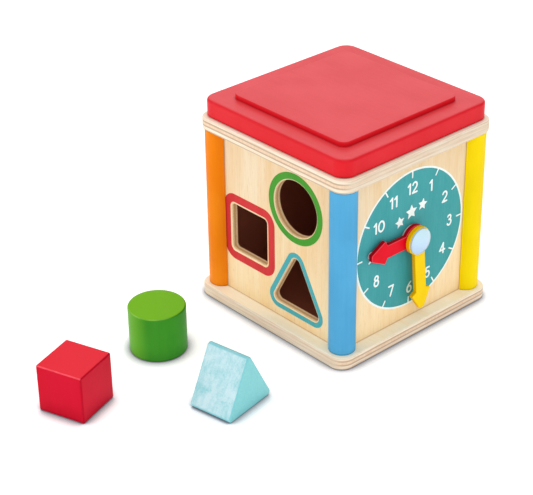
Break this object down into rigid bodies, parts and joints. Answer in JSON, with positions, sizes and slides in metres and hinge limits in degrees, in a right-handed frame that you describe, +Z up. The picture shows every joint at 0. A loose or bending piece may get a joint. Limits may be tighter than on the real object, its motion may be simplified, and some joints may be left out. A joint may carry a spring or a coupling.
{
  "type": "shape sorter",
  "caption": "Wooden shape-sorter box with round corner posts, lift-off lid, cut-out panel, play clock with turning hands and loose blocks.",
  "frame": {"origin": "middle of the base plate's underside, on the surface that the box and its blocks stand on", "axes": "+Z up; -Y out of the panel with the cut-outs; +X out of the clock panel; the loose blocks stand on the -Y side"},
  "size_m": [0.1533, 0.3236, 0.1594],
  "materials": {
    "birch_base": "clear satin lacquer over birch plywood",
    "birch_frame": "clear satin lacquer over birch plywood",
    "birch_panel": "clear satin lacquer over birch plywood",
    "printed_sorter_panel": "clear satin lacquer, red, green and turquoise printed rings round the cut-outs",
    "printed_clock_panel": "clear satin lacquer, turquoise printed clock face with white figures",
    "orange_paint": "satin toy paint on wood",
    "blue_paint": "satin toy paint on wood",
    "yellow_paint": "satin toy paint on wood",
    "green_paint": "satin toy paint on wood",
    "red_lid_paint": "satin toy paint on wood",
    "red_hand": "satin paint",
    "yellow_hand": "satin paint",
    "pale_blue_cap": "smooth gloss",
    "white_nylon": "smooth",
    "zinc_steel": "zinc plated",
    "red_block_paint": "gloss toy paint on wood",
    "green_block_paint": "gloss toy paint on wood",
    "turquoise_block_paint": "thin gloss paint, grain showing"
  },
  "bodies": {
    "box": {"base_plate": "birch_base", "top_frame": "birch_frame", "post_front_left": "orange_paint", "post_front_right": "blue_paint", "post_back_right": "yellow_paint", "post_back_left": "green_paint", "sorter_panel": "printed_sorter_panel", "clock_panel": "printed_clock_panel", "back_panel": "birch_panel", "side_panel": "birch_panel", "base_screws": "zinc_steel", "frame_screws": "zinc_steel", "hub_back_washer": "white_nylon", "hub_middle_washer": "white_nylon", "hub_bolt": "zinc_steel", "hub_cap": "pale_blue_cap", "hub_inner_washer": "zinc_steel", "hub_lock_nut": "zinc_steel"},
    "lid": {"lid_board": "red_lid_paint", "lid_raised_panel": "red_lid_paint", "lid_locating_board": "birch_panel"},
    "hour_hand_body": {"hour_hand": "red_hand"},
    "minute_hand_body": {"minute_hand": "yellow_hand"},
    "square_block_body": {"square_block": "red_block_paint"},
    "round_block_body": {"round_block": "green_block_paint"},
    "triangle_block_body": {"triangle_block": "turquoise_block_paint"}
  },
  "joints": [
    {"name": "lid_lift", "type": "slide", "parent": "box", "child": "lid", "axis": [0, 0, 1], "range_m": [0, 0.15]},
    {"name": "hour_hand_turn", "type": "hinge", "parent": "box", "child": "hour_hand_body", "pos_m": [0.0647, 0, 0.0737], "axis": [1, 0, 0], "continuous": true},
    {"name": "minute_hand_turn", "type": "hinge", "parent": "box", "child": "minute_hand_body", "pos_m": [0.0647, 0, 0.0737], "axis": [1, 0, 0], "continuous": true},
    {"name": "square_block_lift", "type": "slide", "parent": "box", "child": "square_block_body", "axis": [0, 0, 1], "range_m": [0, 0.1]},
    {"name": "round_block_lift", "type": "slide", "parent": "box", "child": "round_block_body", "axis": [0, 0, 1], "range_m": [0, 0.1]},
    {"name": "triangle_block_lift", "type": "slide", "parent": "box", "child": "triangle_block_body", "axis": [0, 0, 1], "range_m": [0, 0.1]}
  ]
}
